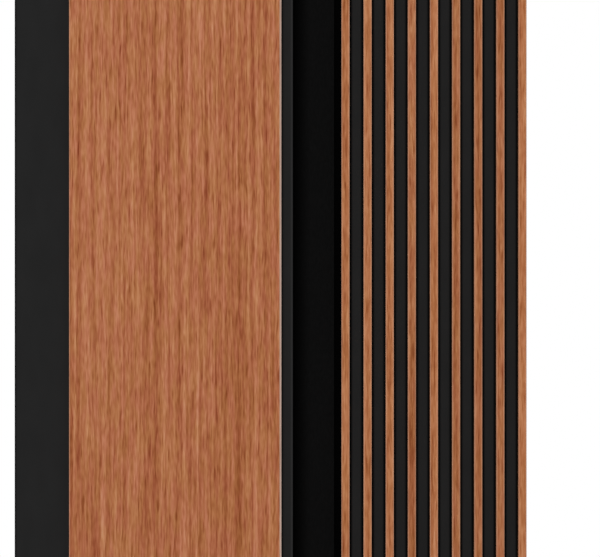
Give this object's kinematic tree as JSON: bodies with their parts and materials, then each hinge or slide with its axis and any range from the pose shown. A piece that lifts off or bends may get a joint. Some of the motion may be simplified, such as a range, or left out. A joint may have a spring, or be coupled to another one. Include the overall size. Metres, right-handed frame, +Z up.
{
  "type": "slatted wall panel",
  "caption": "Upright wall panel: a dark backing board faced with a wide wood board, a recessed channel and a row of slim wood slats, fixed flat against a wall.",
  "frame": {"origin": "centre of the back face, which lies against the wall", "axes": "+Z up along the slats, +X to the right as seen from the room, +Y into the wall"},
  "size_m": [0.6, 0.022, 1.2],
  "materials": {
    "backing": "matt dark grey faced fibreboard with a black core",
    "wood_facing": "satin reddish brown wood with fine straight grain",
    "staple": "galvanised steel wire"
  },
  "bodies": {
    "root": {"backing_board": "backing", "wide_board": "wood_facing", "slat_1": "wood_facing", "slat_2": "wood_facing", "slat_3": "wood_facing", "slat_4": "wood_facing", "slat_5": "wood_facing", "slat_6": "wood_facing", "slat_7": "wood_facing", "slat_8": "wood_facing", "slat_9": "wood_facing", "board_staples": "staple", "slat_staples": "staple"}
  },
  "joints": []
}
